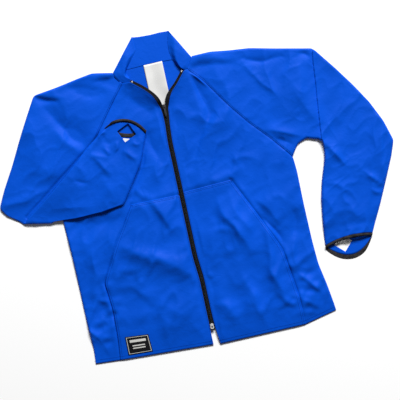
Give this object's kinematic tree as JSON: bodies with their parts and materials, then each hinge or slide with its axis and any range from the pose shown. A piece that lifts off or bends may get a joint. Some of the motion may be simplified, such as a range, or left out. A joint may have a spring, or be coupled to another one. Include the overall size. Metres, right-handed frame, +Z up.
{
  "type": "waterproof jacket",
  "caption": "Raglan-sleeve waterproof jacket laid flat, one forearm folded over, with stand collar, two-way zip and large patch pockets.",
  "frame": {"origin": "on the surface the jacket lies on, under the centre-front line at chest height", "axes": "+Z up from the surface, +Y from hem to collar, +X to the wearer's left"},
  "size_m": [1.008, 0.8039, 0.022],
  "materials": {
    "blue_nylon": "smooth satin nylon",
    "black_elastic": "matt knitted elastic",
    "black_tape": "woven zip tape",
    "zip_teeth": "moulded teeth",
    "nickel": "polished nickel",
    "dark_metal": "black lacquered",
    "white_satin": "satin ribbon",
    "black_woven": "woven label"
  },
  "bodies": {
    "jacket": {"back_panel": "blue_nylon", "front_left": "blue_nylon", "front_right": "blue_nylon", "pocket_left": "blue_nylon", "pocket_right": "blue_nylon", "sleeve_left_front": "blue_nylon", "sleeve_left_back": "blue_nylon", "sleeve_right_front": "blue_nylon", "sleeve_right_back": "blue_nylon", "collar": "blue_nylon", "cuff_binding_left_front": "black_elastic", "cuff_binding_left_back": "black_elastic", "cuff_binding_right_front": "black_elastic", "cuff_binding_right_back": "black_elastic", "zip_tape_left": "black_tape", "zip_tape_right": "black_tape", "zip_teeth_left": "zip_teeth", "zip_teeth_right": "zip_teeth", "zip_chain": "zip_teeth", "zip_box": "black_tape", "zip_stop_left": "nickel", "zip_stop_right": "nickel", "slider_upper": "dark_metal", "slider_lower": "dark_metal", "neck_label": "white_satin", "hem_label": "black_woven", "cuff_label": "white_satin"},
    "upper_pull": {"pull_upper": "dark_metal"},
    "lower_pull": {"pull_lower": "nickel"}
  },
  "joints": [
    {"name": "upper_pull_flip", "type": "hinge", "parent": "jacket", "child": "upper_pull", "pos_m": [0, 0.2495, 0.0099], "axis": [-1, 0, 0], "range_deg": [0, 160]},
    {"name": "lower_pull_flip", "type": "hinge", "parent": "jacket", "child": "lower_pull", "pos_m": [0, -0.309, 0.0092], "axis": [-1, 0, 0], "range_deg": [0, 160]}
  ]
}
